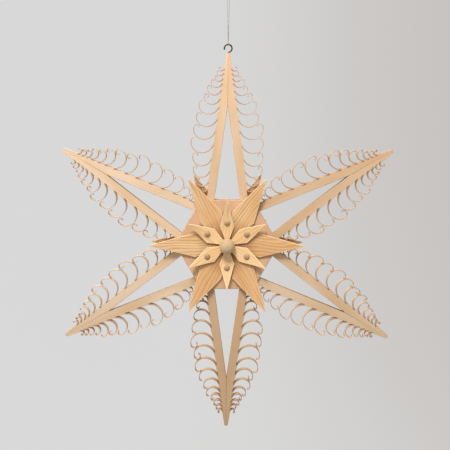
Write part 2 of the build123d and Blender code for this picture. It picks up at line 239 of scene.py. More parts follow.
def smooth_path(points, rounds):
    """Chaikin corner cutting that keeps both ends of the path."""
    for _ in range(rounds):
        cut = [points[0]]
        for here, there in zip(points, points[1:]):
            cut.append(here * 0.75 + there * 0.25)
            cut.append(here * 0.25 + there * 0.75)
        cut.append(points[-1])
        points = cut
    return points


def tube(path, radii, sides, closed=False):
    """Round tube along a path, whose sections are carried along it without twisting.

    An open tube has flat ends. A closed one joins its last section to the first, turned by
    the whole number of sides that comes nearest to the twist gathered on the way round.
    """
    count = len(path)
    points, faces = [], []
    across = None
    for index in range(count):
        before = path[index - 1] if closed else path[max(index - 1, 0)]
        after = path[(index + 1) % count] if closed else path[min(index + 1, count - 1)]
        along = (after - before).normalized()
        if across is None:
            across = along.orthogonal().normalized()
        across = (across - along * across.dot(along)).normalized()
        up = along.cross(across)
        for step in range(sides):
            angle = 2 * pi * step / sides
            reach = across * cos(angle) + up * sin(angle)
            points.append(path[index] + reach * radii[index])
    twist = 0
    if closed:
        first_across = (points[0] - path[0]).normalized()
        first_along = (path[1] - path[-1]).normalized()
        carried = (across - first_along * across.dot(first_along)).normalized()
        slip = atan2(first_along.cross(first_across).dot(carried), first_across.dot(carried))
        twist = round(slip / (2 * pi) * sides)
    for index in range(count if closed else count - 1):
        low = index * sides
        last = index == count - 1
        high = 0 if last else low + sides
        shift = twist if last else 0
        for step in range(sides):
            after = (step + 1) % sides
            over_step = high + (step + shift) % sides
            over_after = high + (after + shift) % sides
            faces.append((low + step, low + after, over_after, over_step))
    if not closed:
        faces.append(tuple(reversed(range(sides))))
        faces.append(tuple(range((count - 1) * sides, count * sides)))
    return points, fix_facing(points, faces)


# ---------------------------------------------------------------- materials
class Nodes:
    """Small wrapper that adds shader nodes and links them by socket name."""

    def __init__(self, name):
        self.material = bpy.data.materials.new(name)
        self.material.use_nodes = True
        self.tree = self.material.node_tree
        self.shader = self.tree.nodes["Principled BSDF"]

    def add(self, kind, settings=None, **inputs):
        node = self.tree.nodes.new("ShaderNode" + kind)
        for key, value in (settings or {}).items():
            setattr(node, key, value)
        for key, value in inputs.items():
            self.feed(node.inputs[key.replace("_", " ")], value)
        return node

    def feed(self, socket, value):
        if isinstance(value, bpy.types.NodeSocket):
            self.tree.links.new(value, socket)
        else:
            socket.default_value = value

    def surface(self, **inputs):
        """Feed the shader's own sockets, and hand over the finished material."""
        for key, value in inputs.items():
            self.feed(self.shader.inputs[key.replace("_", " ")], value)
        return self.material

    def math(self, operation, *values):
        node = self.add("Math", {"operation": operation})
        for socket, value in zip(node.inputs, values):
            self.feed(socket, value)
        return node.outputs[0]

    def vector_math(self, operation, first, second):
        node = self.add("VectorMath", {"operation": operation})
        self.feed(node.inputs[0], first)
        self.feed(node.inputs[1], second)
        return node.outputs["Value" if operation == "DISTANCE" else "Vector"]

    def mix(self, share, first, second):
        """Colour between first and second, at share 0 to 1 on the way."""
        node = self.add("Mix", {"data_type": "RGBA"})
        share_socket, first_socket, second_socket = node.inputs[0], node.inputs[6], node.inputs[7]
        self.feed(share_socket, share)
        self.feed(first_socket, first)
        self.feed(second_socket, second)
        return node.outputs[2]

    def place(self):
        """Place in the row frame, in metres."""
        return self.add("TexCoord").outputs["Object"]

    def attribute(self, name, output="Fac"):
        return self.add("Attribute", {"attribute_name": name}).outputs[output]

    def stretch(self, vector, scale, offset=(0, 0, 0)):
        return self.add("Mapping", Vector=vector, Scale=scale, Location=offset).outputs[0]

    def noise(self, vector, scale=1.0, detail=3.0, roughness=0.55):
        node = self.add("TexNoise", Vector=vector, Scale=scale, Detail=detail, Roughness=roughness)
        return node.outputs[0]

    def ramp(self, factor, low, high, to_low=0.0, to_high=1.0):
        node = self.add("MapRange", {"interpolation_type": "SMOOTHSTEP"}, Value=factor,
                        From_Min=low, From_Max=high, To_Min=to_low, To_Max=to_high)
        return node.outputs[0]

    def bump(self, height, distance):
        return self.add("Bump", Height=height, Distance=distance).outputs[0]


def colour(red, green, blue):
    """Shader colour from the 0 to 255 levels that a display shows."""
    def linear(level):
        share = level / 255
        return share / 12.92 if share <= 0.04045 else ((share + 0.055) / 1.055) ** 2.4
    return (linear(red), linear(green), linear(blue), 1.0)


def wood(name, pale, deep, ring_tint, own_grain=True, ring_share=0.5, ring_pitch=1.9,
         fibre_share=0.45, modelled_rings=False, shaded=None, aged=None, painted_shade_tint=None, painted_shade_radius=None):
    """Raw softwood: growth rings, fibres, pores and a little drift of tone along the board.

    The grain vector is in millimetres: x along the fibres, y across the rings, z depth. It is
    an attribute of the mesh, or without own_grain the place, turned so that fibres run
    upright. With modelled_rings the rings are those of the mesh's ridges. The tint shaded
    comes in by the mesh's attribute shade, which holds painted shadow and painted highlight
    as well as real marks, and aged by its attribute age. The last tint is painted shade:
    it comes in by the mesh's own attribute for it, or with a radius given it fades out at
    that distance from the hub's axis instead.
    """
    nodes = Nodes(name)
    if own_grain:
        vector = nodes.attribute("grain", "Vector")
    else:
        turned = nodes.add("Mapping", Vector=nodes.place(), Scale=(1000, 1000, 1000),
                           Rotation=(0, radians(90), 0))
        vector = turned.outputs[0]
    # Stretches are in waves to the millimetre along the fibres, across the rings and in depth.
    drift = nodes.noise(nodes.stretch(vector, (0.02, 0.07, 0.07)), detail=2)
    if modelled_rings:
        ring = nodes.math("FRACT", nodes.attribute("ring"))
        ring = nodes.math("POWER", ring, 1.5)
    else:
        waver = nodes.noise(nodes.stretch(vector, (0.018, 0.12, 0.12), (7, 3, 1)), detail=2)
        fine_waver = nodes.noise(nodes.stretch(vector, (0.09, 0.7, 0.7), (2, 9, 4)), detail=2)
        across = nodes.add("SeparateXYZ", Vector=vector).outputs["Y"]
        across = nodes.math("ADD", across, nodes.math("MULTIPLY", waver, 6.0))
        across = nodes.math("ADD", across, nodes.math("MULTIPLY", fine_waver, 0.7))
        ring = nodes.math("FRACT", nodes.math("DIVIDE", across, ring_pitch))
        ring = nodes.math("POWER", ring, 2.2)
    ring = nodes.math("MULTIPLY", ring, nodes.ramp(ring, 0.8, 0.99, 1.0, 0.35))
    ring_patches = nodes.noise(nodes.stretch(vector, (0.03, 0.3, 0.3), (5, 5, 5)))
    ring = nodes.math("MULTIPLY", ring, nodes.ramp(ring_patches, 0.3, 0.7, 0.25, 1.0))
    fibre = nodes.noise(nodes.stretch(vector, (0.35, 6.5, 6.5)), detail=4, roughness=0.65)
    pores = nodes.noise(nodes.stretch(vector, (0.5, 11.0, 11.0), (3, 1, 8)), detail=2)
    pores = nodes.ramp(pores, 0.66, 0.78)

    tone = nodes.mix(nodes.ramp(drift, 0.3, 0.7), pale, deep)
    tone = nodes.mix(nodes.math("MULTIPLY", ring, ring_share), tone, ring_tint)
    tone = nodes.mix(nodes.math("MULTIPLY", nodes.ramp(fibre, 0.35, 0.72), fibre_share), tone, deep)
    tone = nodes.mix(nodes.math("MULTIPLY", pores, 0.35), tone, ring_tint)
    if aged is not None:
        tone = nodes.mix(nodes.attribute("age"), tone, aged)
    # The shade attribute brings in painted shadow on the slats, a painted highlight on the petals' rims,
    # and real marks elsewhere.
    if shaded is not None:
        tone = nodes.mix(nodes.attribute("shade"), tone, shaded)
    # Painted shade: round the hub's axis on a CAD node, else by the mesh's own attribute.
    if painted_shade_radius is not None:
        flat_place = nodes.vector_math("MULTIPLY", nodes.place(), (1, 0, 1))
        from_axis = nodes.vector_math("DISTANCE", flat_place, (0, 0, HUB_Z * MM))
        full_painted_shade = 0.55 * painted_shade_radius * MM
        tone = nodes.mix(nodes.ramp(from_axis, full_painted_shade, painted_shade_radius * MM, 0.75, 0.0), tone, painted_shade_tint)
    elif painted_shade_tint is not None:
        tone = nodes.mix(nodes.attribute("painted_shade"), tone, painted_shade_tint)
    height = nodes.math("ADD", fibre, nodes.math("MULTIPLY", ring, 0.8))
    height = nodes.math("SUBTRACT", height, nodes.math("MULTIPLY", pores, 0.6))
    return nodes.surface(
        Base_Color=tone, Roughness=nodes.ramp(fibre, 0.3, 0.7, 0.5, 0.72),
        Normal=nodes.bump(height, 0.035 * MM), Specular_IOR_Level=0.35)


def bronzed_wire():
    """Dark bronzed wire, worn to a paler metal in places."""
    nodes = Nodes("bronzed_wire")
    place = nodes.place()
    blotch = nodes.noise(place, scale=900, detail=4)
    scratch = nodes.noise(nodes.stretch(place, (5000, 900, 900)), detail=3)
    worn = nodes.ramp(nodes.math("ADD", blotch, nodes.math("MULTIPLY", scratch, 0.4)), 0.7, 0.95)
    tone = nodes.mix(worn, colour(62, 47, 34), colour(150, 122, 84))
    return nodes.surface(
        Base_Color=tone, Roughness=nodes.ramp(blotch, 0.3, 0.7, 0.32, 0.5),
        Normal=nodes.bump(scratch, 0.01 * MM), Metallic=0.85)


def spun_thread():
    """Pale two-ply thread: slanting plies and loose fibres."""
    nodes = Nodes("spun_thread")
    place = nodes.place()
    turned = nodes.add("Mapping", Vector=place, Rotation=(0, radians(28), 0)).outputs[0]
    wave = nodes.add("TexWave", {"bands_direction": "Z"}, Vector=turned, Scale=620.0, Distortion=0.6)
    ply = wave.outputs["Fac"]
    fuzz = nodes.noise(place, scale=9000, detail=2)
    tone = nodes.mix(nodes.math("MULTIPLY", ply, fuzz), colour(142, 136, 134), colour(182, 176, 173))
    height = nodes.math("ADD", ply, fuzz)
    return nodes.surface(
        Base_Color=tone, Roughness=0.8, Normal=nodes.bump(height, 0.03 * MM), Sheen_Weight=0.2)


# Brown that the slats' shade attribute mixes in: browner shavings, dark seams and darker inner walls, and
# painted shadow in the slits, at the shaving roots and in the crotches.
BROWN_AND_PAINTED_SHADE = colour(132, 90, 42)
# Brown of the painted shade in the petals' crevices, on their undersides and on the plate round the hub.
PAINTED_SHADE_BROWN = colour(128, 76, 34)
slat_wood = wood(
    "slat_wood", colour(234, 210, 182), colour(220, 186, 147), colour(200, 158, 115),
    ring_share=0.45, shaded=BROWN_AND_PAINTED_SHADE, aged=colour(196, 156, 114))
# On both kinds of petal the shade attribute mixes in a pale tint, a painted highlight on the rims; the
# last tint is the painted shade of their crevices and undersides.
petal_wood = wood(
    "petal_wood", colour(240, 202, 152), colour(224, 176, 122), colour(178, 120, 66),
    ring_share=0.9, fibre_share=0.4, modelled_rings=True,
    shaded=colour(248, 218, 174), painted_shade_tint=PAINTED_SHADE_BROWN)
small_petal_wood = wood(
    "small_petal_wood", colour(253, 220, 168), colour(242, 199, 143), colour(198, 150, 94),
    ring_share=0.7, fibre_share=0.35, modelled_rings=True,
    shaded=colour(248, 222, 180), painted_shade_tint=PAINTED_SHADE_BROWN)
# On the plate the painted shade darkens the wood round the hub, where the petals shadow it.
plate_wood = wood(
    "plate_wood", colour(226, 186, 150), colour(212, 168, 130), colour(196, 146, 104),
    own_grain=False, ring_share=0.3, ring_pitch=3.4, painted_shade_tint=PAINTED_SHADE_BROWN, painted_shade_radius=29.0)
core_wood = wood(
    "core_wood", colour(214, 174, 132), colour(200, 156, 112), colour(170, 122, 80), own_grain=False)
turned_wood = wood(
    "turned_wood", colour(216, 190, 152), colour(202, 170, 130), colour(178, 142, 104),
    ring_share=0.25, ring_pitch=1.3, fibre_share=0.3, shaded=colour(150, 112, 76))
wire_metal = bronzed_wire()
thread_fibre = spun_thread()


# ---------------------------------------------------------------- slats with their shavings
def hook_centre(radius):
    """A closing hook's radius, and its centre along and out from the curl's root."""
    hook_radius = max(radius * HOOK, SHAVING)
    along = radius * (1 - SECOND_SWEEP)
    out = radius - SHAVING / 2 + radius * SECOND_SWEEP - hook_radius
    return hook_radius, along, out


def root_spacing(radius, next_radius):
    """Spacing that keeps a curl's hook clear of the next curl towards the tip."""
    hook_radius, along, out = hook_centre(radius)
    rise = out - (next_radius - SHAVING / 2)
    sweep = SECOND_SWEEP if rise > 0 else 1.0
    reach = next_radius * sweep + hook_radius + SHAVING + CURL_GAP
    return sqrt(reach ** 2 - rise ** 2) - along + next_radius * (1 - sweep)


def widest_curl(root):
    """First-sweep radius that still clears the neighbouring ray's curls."""
    limit_angle = HALF_SECTOR + SLOPE
    from_corner = (root - OUTER_MITRE) / cos(SLOPE)
    room = from_corner * sin(limit_angle) - SHAVING / 2 - RAY_GAP / 2
    return room / (1 + cos(limit_angle))


def curl_radii_and_roots(variety_phase):
    """First-sweep radius and root place (u) of every curl, from the tip inwards."""
    curls = []
    root = STAR_RADIUS - FIRST_CURL
    for number in range(CURLS_PER_SLAT):
        share = number / (CURLS_PER_SLAT - 1)
        swell = sin(pi * share ** CURL_PEAK_SKEW)
        radius = SMALL_CURL + (LARGE_CURL - SMALL_CURL) * swell
        radius *= 1 + CURL_VARIETY * sin(2.4 * number + variety_phase)
        if curls:
            next_radius, next_root = curls[-1]
            for _ in range(FITTING_ROUNDS):
                root = next_root - root_spacing(radius, next_radius) * cos(SLOPE)
                radius = min(radius, widest_curl(root))
                if radius < LEAST_CURL:
                    return curls
        curls.append((radius, root))
    return curls


class OutlinePoint:
    """One point of a slat's outline with what the solid does there.

    The wall is half_depth deep each way from a middle that is shifted by shift. The faces
    start inset from it, and edge is how far down the wall their rounding reaches.
    """

    def __init__(self, u, v, grain, half_depth=SLAT_DEPTH / 2, shift=0.0, edge=SLAT_EDGE,
                 shade=0.0, inset=None):
        self.u = u
        self.v = v
        self.grain = grain
        self.half_depth = half_depth
        self.shift = shift
        self.edge = edge
        self.shade = shade
        self.inset = edge if inset is None else inset


def bar_grain(u, v):
    """Fibres of the slat itself run along its slope."""
    return (u * cos(SLOPE) - v * sin(SLOPE), u * sin(SLOPE) + v * cos(SLOPE))


def shaving_sides(radius, root, draw):
    """Concave and convex side of one shaving, from its root to its free end.

    Its middle line starts at (a, b) = (0, -SHAVING / 2), with a running along the slat's
    edge towards the hub and b out from it, and bends in two sweeps and a closing hook.
    """
    edge_v = (RAY_APEX - root) * tan(SLOPE)
    along_root, across_root = bar_grain(root, edge_v)
    turn = 180.0 + draw.uniform(*HOOK_TURNS)
    lean = draw.uniform(-SHAVING_LEAN, SHAVING_LEAN)
    tighten = draw.uniform(0.25, 0.5)
    hook_radius = hook_centre(radius)[0] * draw.uniform(0.8, 1.1)
    wobble_phase = draw.uniform(0, 2 * pi)
    headings = [0.0, NOTCH_ANGLE / 2, NOTCH_ANGLE]
    while headings[-1] < turn:
        in_hook = headings[-1] >= 170
        headings.append(headings[-1] + (13.0 if in_hook else 8.0))
    a, b, length = 0.0, -SHAVING / 2, 0.0
    whole_length = radians(90) * radius * (1 + SECOND_SWEEP) + 0.8 * hook_radius * radians(turn - 180)
    concave, convex = [], []
    for index, heading in enumerate(headings):
        if index:
            middle = (heading + headings[index - 1]) / 2
            if middle < 90:
                bend = radius
            elif middle < 180:
                bend = radius * SECOND_SWEEP
            else:
                bend = hook_radius * (1 - tighten * (middle - 180) / (turn - 180))
            before, now = radians(headings[index - 1]), radians(heading)
            a += bend * (sin(now) - sin(before))
            b += bend * (cos(before) - cos(now))
            length += bend * (now - before)
        share = min(length / whole_length, 1.0)
        half = (SHAVING_ROOT + (SHAVING_TIP - SHAVING_ROOT) * min(1.0, share / 0.7)) / 2
        narrowing = 1 - (1 - SHAVING_TIP_DEPTH) * share ** 2
        wobble = SHAVING_WOBBLE * radius * sin(5.0 * share + wobble_phase) * share + SHAVING / 2 - half
        normal = (sin(radians(heading)), -cos(radians(heading)))
        # Browner shaving wood, with painted shade added towards the root.
        shade = SHAVING_TONE + SHAVING_ROOT_PAINTED_SHADE * max(0.0, 1 - share / 0.45)
        for side, store in ((-1, concave), (1, convex)):
            offset = side * half + wobble
            point_a = a + offset * normal[0]
            point_b = b + offset * normal[1]
            u = root - point_a * cos(SLOPE) + point_b * sin(SLOPE)
            v = edge_v + point_a * sin(SLOPE) + point_b * cos(SLOPE)
            grain = (along_root - length, across_root - SHAVING / 2 - offset)
            half_depth = SLAT_DEPTH / 2 * narrowing
            store.append(OutlinePoint(u, v, grain, half_depth, lean * share ** 2, SHAVING_EDGE, shade))
    return concave, convex


def slat_outline(variety_phase, dark_inside, draw):
    """Closed loop of outline points, and each shaving's start, middle and end in it."""
    loop, ribbons = [], []

    def corner(u, v, edge=SLAT_EDGE, shade=0.0, inset=None):
        loop.append(OutlinePoint(u, v, bar_grain(u, v), edge=edge, shade=shade, inset=inset))

    corner(OUTER_MITRE, OUTER_MITRE * tan(HALF_SECTOR))
    for radius, root in reversed(curl_radii_and_roots(variety_phase)):
        concave, convex = shaving_sides(radius, root, draw)
        notch = 2    # number of the point at NOTCH_ANGLE, where the convex side comes free
        slit = convex[notch]
        last = loop[-1]
        run = slit.u - last.u
        reach = min(SLIT_REACH, 0.7 * run)
        # The edge dips towards the slit behind the shaving, and painted shadow darkens it more and more
        # on the way.
        for closeness in (0.0, 0.35, 0.65, 0.9):
            share = 1 - reach * (1 - closeness) / run
            u = last.u + run * share
            v = last.v + (slit.v - last.v) * share - FACET_DEPTH * closeness * (1 - closeness) * 2
            painted_slit_shadow = SLIT_SHADE * closeness ** 0.6
            corner(u, v, SHAVING_EDGE, painted_slit_shadow, SHAVING_EDGE + SLIT_WIDTH * closeness)
        start = len(loop)
        loop.extend(convex[notch:])
        middle = len(loop)
        loop.extend(reversed(concave[notch:]))
        end = len(loop) - 1
        # Painted shade on the first points of the concave side, where the shaving leaves the slat.
        for back in range(notch - 1, -1, -1):
            point = concave[back]
            corner(point.u, point.v, SHAVING_EDGE, ROOT_SHADE)
        ribbons.append((start, middle, end))
    rounding_run = TIP_ROUNDING / tan(SLOPE / 2 + pi / 4)
    centre_u, centre_v = STAR_RADIUS - TIP_ROUNDING, TIP_HALF_WIDTH - rounding_run
    steps = 6
    for step in range(steps + 1):
        angle = (pi / 2 - SLOPE) * (1 - step / steps)
        u = centre_u + TIP_ROUNDING * cos(angle)
        v = centre_v + TIP_ROUNDING * sin(angle)
        corner(u, v, SLAT_TIP_EDGE)
    corner(STAR_RADIUS, 0.0, SLAT_TIP_EDGE, SEAM_SHADE, SEAM_INSET)
    corner((STAR_RADIUS + CROTCH) / 2, 0.0, SLAT_EDGE, SEAM_SHADE, SEAM_INSET)
    # Painted shade where the seam opens into the narrow V of the crotch.
    corner(CROTCH, 0.0, SLAT_EDGE, CROTCH_SHADE, SEAM_INSET)
    # Along the inner wall: painted shade in the narrow V next to the crotch on every slat, mostly gone a
    # third of the way along; on the slats of DARK_INNER_EDGE the wall stays darker the whole way to the
    # plate.
    inner_edge = ((0.08, 0.7, 0.9), (0.3, 0.1, 0.8), (0.6, 0.0, 0.65), (0.97, 0.0, 0.4))
    for share, plain_shade, dark_shade in inner_edge:
        u = CROTCH + (INNER_MITRE - CROTCH) * share
        corner(u, (CROTCH - u) * tan(SLOPE), SLAT_EDGE, dark_shade if dark_inside else plain_shade)
    corner(INNER_MITRE, INNER_MITRE * tan(HALF_SECTOR))
    return loop, ribbons


def slat_mesh(ray_degrees, side, variety_phase, dark_inside, draw):
    """Watertight slat: rounded walls round the outline, flat faces, and its shavings.

    Each outline point has a row of points down the wall. The shavings' faces are quads
    between their two sides, and the rest of each face is one polygon, the bar's. The walls
    take the outline's shade and the bar's faces none.
    """
    loop, ribbons = slat_outline(variety_phase, dark_inside, draw)
    count = len(loop)
    board_offset = 170 * ((ray_degrees + 180) / 60 + (3.5 if side > 0 else 0))
    points, faces, grain, shade = [], [], [], []
    for index, here in enumerate(loop):
        before, after = loop[index - 1], loop[(index + 1) % count]
        first = Vector((here.u - before.u, here.v - before.v)).normalized()
        second = Vector((after.u - here.u, after.v - here.v)).normalized()
        along = (first + second).normalized()
        inward = Vector((along.y, -along.x))
        half, edge = here.half_depth, here.edge
        sections = ((here.inset, -half), (0, -half + edge), (0, 0), (0, half - edge), (here.inset, half))
        for inset, depth in sections:
            u = here.u + inward.x * inset
            v = here.v + inward.y * inset
            points.append(star_point(ray_degrees, side, u, v, depth + here.shift))
            grain.append((here.grain[0] + board_offset, here.grain[1], depth))
            shade.append(here.shade)
    rows = len(sections)
    front_and_back = (0, rows - 1)
    for index in range(count):
        here, after = index * rows, (index + 1) % count * rows
        for row in range(rows - 1):
            faces.append((here + row, after + row, after + row + 1, here + row + 1))
    ribbon_points = set()
    for start, middle, end in ribbons:
        ribbon_points.update(range(start + 1, end))
        for step in range(middle - start - 1):
            outer, inner = start + step, end - step
            for row in front_and_back:
                quad = [index * rows + row for index in (outer, outer + 1, inner - 1, inner)]
                faces.append(tuple(quad if row == 0 else reversed(quad)))
    bar = [index for index in range(count) if index not in ribbon_points]
    for row in front_and_back:
        for index in bar:
            shade[index * rows + row] = 0.0
        for index in ribbon_points:
            shade[index * rows + row] += SHAVING_FRONT_TONE
    faces.append(tuple(index * rows for index in bar))
    faces.append(tuple(index * rows + rows - 1 for index in reversed(bar)))
    return points, faces, grain, shade


def build_slats():
    for number, (clock, ray_degrees) in enumerate(RAYS.items()):
        for side_name, side in (("left", -1), ("right", 1)):
            draw = random.Random(100 * number + side)
            phase = 1.3 * number + 0.7 * side
            dark_inside = DARK_INNER_EDGE.get(clock) == side
            points, faces, grain, shade = slat_mesh(ray_degrees, side, phase, dark_inside, draw)
            name = f"slat_{clock}_{side_name}"
            age = [SLAT_AGE[clock]] * len(points)
            make_piece("fine_" + name, points, fix_facing(points, faces), slat_wood, name,
                       attributes={"grain": grain, "shade": shade, "age": age})


# ---------------------------------------------------------------- petals
def bend_radius(shape):
    """Radius that bends a petal from flat up to its rise at the tip."""
    run = shape["length"] - shape["flat_to"]
    return (run ** 2 + shape["rise"] ** 2) / (2 * shape["rise"])


def petal_height(u, flat_to, bend):
    """Underside of a petal over its seat, and the slope there."""
    if u <= flat_to:
        return 0.0, 0.0
    lean = asin((u - flat_to) / bend)
    return bend * (1 - cos(lean)), lean


def petal_mesh(shape, breadth, relief, columns, rows, draw):
    """Split leaf: bent sheet whose growth rings stand up as lengthwise ridges."""
    length, widest_at, flat_to = shape["length"], shape["widest_at"], shape["flat_to"]
    bend = bend_radius(shape)
    ring_slant = draw.uniform(-0.07, 0.07)
    ring_offset = draw.uniform(0, 1)
    board = Vector((draw.uniform(0, 50), draw.uniform(0, 50), draw.uniform(0, 50)))
    board_depth = 9 * draw.uniform(0, 1)

    def half_width(u):
        if u < widest_at:
            return shape["width"] / 2 * u / widest_at
        share = (u - widest_at) / (length - widest_at)
        return shape["width"] / 2 * (1 - share) + PETAL_TIP_WIDTH / 2 * share

    points, faces, grain, ring, painted_rim_highlight, painted_shade = [], [], [], [], [], []
    stations = [PETAL_INNER_END + (length - PETAL_INNER_END) * row / (rows - 1) for row in range(rows)]
    nearest = min(range(rows), key=lambda row: abs(stations[row] - widest_at))
    stations[nearest] = widest_at
    for top in (False, True):
        for u in stations:
            low, lean = petal_height(u, flat_to, bend)
            for column in range(columns + 1):
                share = 2 * column / columns - 1
                share = copysign(1 - (1 - abs(share)) ** 1.25, share)    # closer near the rim
                v = half_width(u) * share * breadth
                waver = noise.noise(board + Vector((u * 0.035, v * 0.09, 0))) * 4.5
                fine_waver = noise.noise(board + Vector((u * 0.1, v * 0.35, 3))) * 0.16
                place = (v + ring_slant * u + waver) / RIDGE_PITCH + fine_waver + ring_offset
                phase = place % 1.0
                ridge = phase ** 2 * (1 - max(0.0, (phase - 0.86) / 0.14) ** 2)
                from_edge = (1 - abs(share)) * half_width(u)
                from_rim = min(from_edge, u - PETAL_INNER_END, length - u)
                rounding = PETAL_ROUND_DEPTH * max(0.0, 1 - from_rim / PETAL_ROUND_REACH) ** 2
                lift = relief * (ridge - 0.5) * min(1.0, from_edge / 0.5) - rounding
                height = PETAL_THICKNESS + lift if top else max(-lift, 0.02)
                points.append(Vector((u - height * sin(lean), v, low + height * cos(lean))))
                grain.append((u + board.x * 20, v + board.y * 20, height + board_depth))
                ring.append(place)
                # Painted highlight along the rim, brought in by the shade attribute.
                painted_rim_highlight.append(max(0.0, 1 - from_edge / 0.6))
                # Painted shade on the upper face in the crevices round the ball, and on the whole
                # underside.
                in_crevice = min(1.0, max(0.0, (CREVICE_END - u) / (CREVICE_END - BALL_RADIUS)))
                painted_shade.append(shape["painted_shade"] * in_crevice if top else UNDERSIDE_PAINTED_SHADE)
    wide = columns + 1
    layer = wide * rows
    for row in range(rows - 1):
        for column in range(columns):
            low = row * wide + column
            faces.append((low, low + wide, low + wide + 1, low + 1))
            high = low + layer
            faces.append((high, high + 1, high + wide + 1, high + wide))
        for column in (0, columns):
            low = row * wide + column
            quad = (low, low + layer, low + wide + layer, low + wide)
            faces.append(quad if column == 0 else tuple(reversed(quad)))
    for row in (0, rows - 1):
        for column in range(columns):
            low = row * wide + column
            quad = (low, low + 1, low + 1 + layer, low + layer)
            faces.append(quad if row == 0 else tuple(reversed(quad)))
    return points, faces, {"grain": grain, "ring": ring, "shade": painted_rim_highlight, "painted_shade": painted_shade}


def petal_frame(degrees_round, face, seat, shift):
    """Matrix from a petal's own millimetres to the row frame in metres."""
    ray = ray_direction(degrees_round)
    up = Vector((0, face, 0))
    across = up.cross(ray)
    matrix = Matrix((ray, across, up)).transposed().to_4x4()
    origin = Vector((0, face * seat, HUB_Z)) + ray * shift
    return Matrix.Translation(origin * MM) @ Matrix.Scale(MM, 4) @ matrix


def build_petals():
    kinds = (
        ("large_petal", BETWEEN_RAYS, LARGE_SEAT, LARGE_PETAL, LARGE_RELIEF, 72, 34,
         petal_wood, "petal_wood"),
        ("small_petal", RAYS, SMALL_SEAT, SMALL_PETAL, SMALL_RELIEF, 44, 26,
         small_petal_wood, "small_petal_wood"),
    )
    for face_name, face in FACES.items():
        for kind, clocks, seat, shape, relief, columns, rows, material, slot in kinds:
            for clock, degrees_round in clocks.items():
                draw = random.Random(f"{face_name} {kind} {clock}")
                breadth, shift = 1.0, 0.0
                if kind == "small_petal":
                    breadth = SMALL_PETAL_BREADTH.get(clock, 1.0)
                    shift = BACK_SMALL_PETAL_SHIFT if face_name == "back" else 0.0
                elif face_name == "back":
                    degrees_round += BACK_PETAL_LEAN.get(clock, 0.0)
                points, faces, attributes = petal_mesh(shape, breadth, relief, columns, rows, draw)
                matrix = petal_frame(degrees_round, face, seat, shift)
                points = [matrix @ point for point in points]
                name = f"{face_name}_{kind}_{clock}"
                make_piece("fine_" + name, points, fix_facing(points, faces), material, name,
                           attributes=attributes)


# ---------------------------------------------------------------- turned pieces
def build_balls():
    """Turned balls: fine rings, slightly flat poles, and the lathe's centre mark outside."""
    steps = 40
    profile = []
    for step in range(steps - 1):
        angle = pi * step / steps
        groove = 0.012 * sin(step * 2.1) * sin(angle)
        flattening = 1 - 0.012 * abs(cos(angle)) ** 8
        profile.append((BALL_RADIUS * sin(angle) + groove, -BALL_RADIUS * cos(angle) * flattening))
    top = BALL_RADIUS * (1 - 0.012)
    profile += [(0.5, top - 0.05), (0.32, top - 0.1), (0.2, top - 0.3), (0.0, top - 0.35)]
    mark_reach, mark_shade = 0.6, 0.55
    local, faces = lathe(profile, 64)
    grain = [(point.x + 11, point.z + 5, point.y) for point in local]
    shade = []
    for point in local:
        in_mark = max(0.0, 1 - point.xy.length / mark_reach) if point.z > 0 else 0.0
        shade.append(mark_shade * in_mark)
    for face_name, face in FACES.items():
        name = face_name + "_ball"
        low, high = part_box(name)
        outwards = Matrix.Rotation(radians(-90 * face), 4, "X")
        matrix = Matrix.Translation((low + high) / 2) @ outwards @ Matrix.Scale(MM, 4)
        points = [matrix @ point for point in local]
        make_piece("turned_" + name, points, faces, turned_wood, name,
                   attributes={"grain": grain, "shade": shade})


def build_pegs():
    """Pegs square to the small petals, each with a domed head on the petal's upper side."""
    bend = bend_radius(SMALL_PETAL) - PETAL_THICKNESS
    tilt = asin((PEG_AT - SMALL_PETAL["flat_to"]) / bend)
    seat = SMALL_SEAT + PETAL_THICKNESS + bend * (1 - cos(tilt))
    shank = (seat - PLATE_SEAT + PEG_IN_CORE) / cos(tilt)
    dome_radius = (PEG_HEAD_RADIUS ** 2 + PEG_HEAD_HEIGHT ** 2) / (2 * PEG_HEAD_HEIGHT)
    dome_middle = GLUE_GAP + PEG_HEAD_HEIGHT - dome_radius
    reach = asin(PEG_HEAD_RADIUS / dome_radius)
    profile = [
        (0, -shank), (PEG_RADIUS - 0.2, -shank), (PEG_RADIUS, 0.2 - shank), (PEG_RADIUS, GLUE_GAP),
        (PEG_HEAD_RADIUS - 0.12, GLUE_GAP), (PEG_HEAD_RADIUS - 0.02, GLUE_GAP + 0.1),
    ]
    steps = 12
    for step in range(1, steps + 1):
        angle = reach * (1 - step / steps)
        profile.append((dome_radius * sin(angle), dome_middle + dome_radius * cos(angle)))
    local, faces = lathe(profile, 40)
    end_shade, rim_shade = 0.65, 0.35
    shade = []
    for point in local:
        from_middle = min(1.0, point.xy.length / PEG_HEAD_RADIUS)
        shade.append(end_shade - (end_shade - rim_shade) * from_middle)
    for face_name, face in FACES.items():
        for number, (clock, degrees_round) in enumerate(RAYS.items()):
            ray = ray_direction(degrees_round)
            outward = Vector((0, face, 0)) * cos(tilt) - ray * sin(tilt)
            across = outward.cross(ray).normalized()
            along = across.cross(outward)
            turn = Matrix((along, across, outward)).transposed().to_4x4()
            origin = Vector((0, face * seat, HUB_Z)) + ray * PEG_AT
            matrix = Matrix.Translation(origin * MM) @ Matrix.Scale(MM, 4) @ turn
            points = [matrix @ point for point in local]
            grain = [(point.z, point.x + 3 * number, point.y + 7) for point in local]
            name = f"{face_name}_peg_{clock}"
            make_piece("turned_" + name, points, faces, turned_wood, name,
                       attributes={"grain": grain, "shade": shade})


